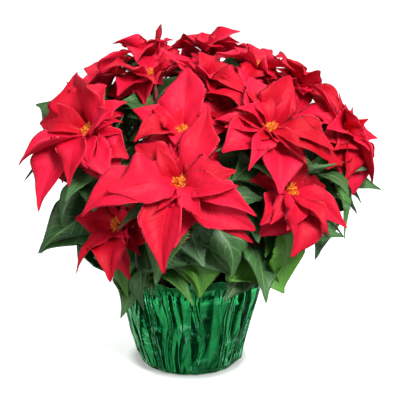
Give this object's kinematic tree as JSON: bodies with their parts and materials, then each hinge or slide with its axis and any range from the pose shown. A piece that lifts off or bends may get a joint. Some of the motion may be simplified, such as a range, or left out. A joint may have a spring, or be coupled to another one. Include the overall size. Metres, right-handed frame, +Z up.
{
  "type": "potted poinsettia",
  "caption": "Poinsettia in full colour: red bract rosettes over lobed dark green leaves, standing in a grow pot wrapped in crinkled green foil.",
  "frame": {"origin": "centre of the flat base of the foil, on the surface that the pot stands on", "axes": "+Z up along the pot's axis, -Y towards the front that the picture shows, +X to the right seen from the front"},
  "size_m": [0.4055, 0.3767, 0.3838],
  "materials": {
    "bract": "velvety",
    "cyathium": "waxy",
    "leaf": "satin",
    "foil": "metallised film, glossy",
    "pot": "matte",
    "soil": "crumbly peat"
  },
  "bodies": {
    "root": {"foil_wrap": "foil", "grow_pot": "pot", "soil": "soil", "plant_left_green": "leaf", "plant_right_green": "leaf", "plant_back_green": "leaf", "bloom_front_bracts": "bract", "bloom_front_cyathia": "cyathium", "bloom_left_bracts": "bract", "bloom_left_cyathia": "cyathium", "bloom_centre_bracts": "bract", "bloom_centre_cyathia": "cyathium", "bloom_right_bracts": "bract", "bloom_right_cyathia": "cyathium", "bloom_far_right_bracts": "bract", "bloom_far_right_cyathia": "cyathium", "bloom_upper_right_bracts": "bract", "bloom_upper_right_cyathia": "cyathium", "bloom_lower_right_bracts": "bract", "bloom_lower_right_cyathia": "cyathium", "bloom_top_bracts": "bract", "bloom_top_cyathia": "cyathium", "bloom_upper_left_bracts": "bract", "bloom_upper_left_cyathia": "cyathium", "bloom_left_back_bracts": "bract", "bloom_left_back_cyathia": "cyathium", "bloom_crown_left_bracts": "bract", "bloom_crown_left_cyathia": "cyathium", "bloom_crown_right_bracts": "bract", "bloom_crown_right_cyathia": "cyathium", "bloom_right_back_bracts": "bract", "bloom_right_back_cyathia": "cyathium", "bloom_lower_left_bracts": "bract", "bloom_lower_left_cyathia": "cyathium", "bloom_back_left_bracts": "bract", "bloom_back_left_cyathia": "cyathium", "bloom_back_bracts": "bract", "bloom_back_cyathia": "cyathium", "bloom_back_right_bracts": "bract", "bloom_back_right_cyathia": "cyathium", "bloom_low_back_left_bracts": "bract", "bloom_low_back_left_cyathia": "cyathium", "bloom_low_back_right_bracts": "bract", "bloom_low_back_right_cyathia": "cyathium"}
  },
  "joints": []
}
